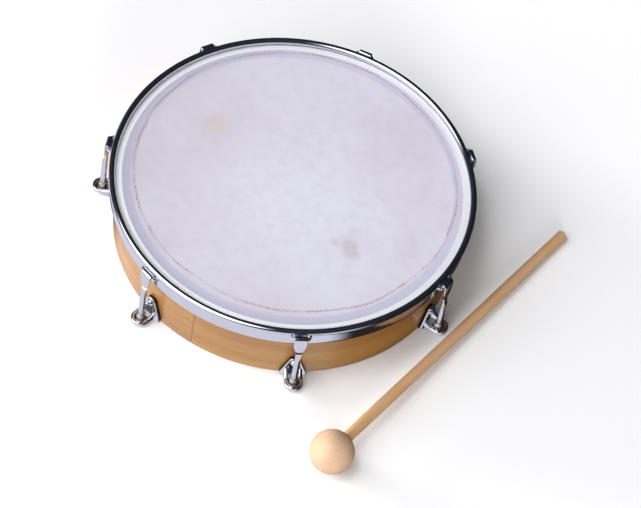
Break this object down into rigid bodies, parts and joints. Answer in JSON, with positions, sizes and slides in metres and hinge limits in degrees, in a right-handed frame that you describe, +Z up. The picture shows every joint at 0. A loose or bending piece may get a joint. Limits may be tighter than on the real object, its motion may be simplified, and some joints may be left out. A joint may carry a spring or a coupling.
{
  "type": "hand drum",
  "caption": "Shallow wooden frame drum with a skin head, a chromed counterhoop pulled down by claw hooks, and a ball-ended wooden beater.",
  "frame": {"origin": "centre of the circle of the shell's bottom edge, on the plane that the drum rests on", "axes": "+Z up the drum's axis out of the playing head; -Y towards the first lug; +X to the right of it"},
  "size_m": [0.3528, 0.354, 0.0596],
  "materials": {
    "shell_wood": "lacquered",
    "drumhead_skin": "matt",
    "flesh_hoop_wood": "plain",
    "hoop_chrome": "polished",
    "hook_chrome": "polished",
    "bracket_chrome": "polished",
    "bolt_chrome": "polished",
    "nut_nickel": "satin",
    "inner_steel": "satin",
    "beater_wood": "sanded"
  },
  "bodies": {
    "drum": {"shell": "shell_wood", "drumhead": "drumhead_skin", "flesh_hoop": "flesh_hoop_wood", "lug_bolts": "bolt_chrome", "lug_washers": "inner_steel", "lug_nuts": "inner_steel", "lug_bracket_1": "bracket_chrome", "lug_bracket_2": "bracket_chrome", "lug_bracket_3": "bracket_chrome", "lug_bracket_4": "bracket_chrome", "lug_bracket_5": "bracket_chrome", "lug_bracket_6": "bracket_chrome", "lug_bracket_7": "bracket_chrome"},
    "hoop": {"counterhoop": "hoop_chrome", "tension_hook_1": "hook_chrome", "tension_hook_2": "hook_chrome", "tension_hook_3": "hook_chrome", "tension_hook_4": "hook_chrome", "tension_hook_5": "hook_chrome", "tension_hook_6": "hook_chrome", "tension_hook_7": "hook_chrome"},
    "nut_1": {"tension_nut_1": "nut_nickel"},
    "nut_2": {"tension_nut_2": "nut_nickel"},
    "nut_3": {"tension_nut_3": "nut_nickel"},
    "nut_4": {"tension_nut_4": "nut_nickel"},
    "nut_5": {"tension_nut_5": "nut_nickel"},
    "nut_6": {"tension_nut_6": "nut_nickel"},
    "nut_7": {"tension_nut_7": "nut_nickel"},
    "beater": {"beater_stick": "beater_wood", "beater_ball": "beater_wood"}
  },
  "joints": [
    {"name": "hoop_lift", "type": "slide", "parent": "drum", "child": "hoop", "axis": [0, 0, 1], "range_m": [0, 0.006]},
    {"name": "nut_1_turn", "type": "hinge", "parent": "drum", "child": "nut_1", "pos_m": [0, -0.1384, 0], "axis": [0, 0, 1], "range_deg": [0, 2701]},
    {"name": "nut_2_turn", "type": "hinge", "parent": "drum", "child": "nut_2", "pos_m": [0.1082, -0.08629, 0], "axis": [0, 0, 1], "range_deg": [0, 2701]},
    {"name": "nut_3_turn", "type": "hinge", "parent": "drum", "child": "nut_3", "pos_m": [0.13493, 0.0308, 0], "axis": [0, 0, 1], "range_deg": [0, 2701]},
    {"name": "nut_4_turn", "type": "hinge", "parent": "drum", "child": "nut_4", "pos_m": [0.06005, 0.12469, 0], "axis": [0, 0, 1], "range_deg": [0, 2701]},
    {"name": "nut_5_turn", "type": "hinge", "parent": "drum", "child": "nut_5", "pos_m": [-0.06005, 0.12469, 0], "axis": [0, 0, 1], "range_deg": [0, 2701]},
    {"name": "nut_6_turn", "type": "hinge", "parent": "drum", "child": "nut_6", "pos_m": [-0.13493, 0.0308, 0], "axis": [0, 0, 1], "range_deg": [0, 2701]},
    {"name": "nut_7_turn", "type": "hinge", "parent": "drum", "child": "nut_7", "pos_m": [-0.1082, -0.08629, 0], "axis": [0, 0, 1], "range_deg": [0, 2701]},
    {"name": "beater_lift", "type": "slide", "parent": "drum", "child": "beater", "axis": [0, 0, 1], "range_m": [0, 0.15]}
  ],
  "couplings": [
    {"joint": "nut_1_turn", "follows": "hoop_lift", "rad_per_m": 7854},
    {"joint": "nut_2_turn", "follows": "hoop_lift", "rad_per_m": 7854},
    {"joint": "nut_3_turn", "follows": "hoop_lift", "rad_per_m": 7854},
    {"joint": "nut_4_turn", "follows": "hoop_lift", "rad_per_m": 7854},
    {"joint": "nut_5_turn", "follows": "hoop_lift", "rad_per_m": 7854},
    {"joint": "nut_6_turn", "follows": "hoop_lift", "rad_per_m": 7854},
    {"joint": "nut_7_turn", "follows": "hoop_lift", "rad_per_m": 7854}
  ]
}
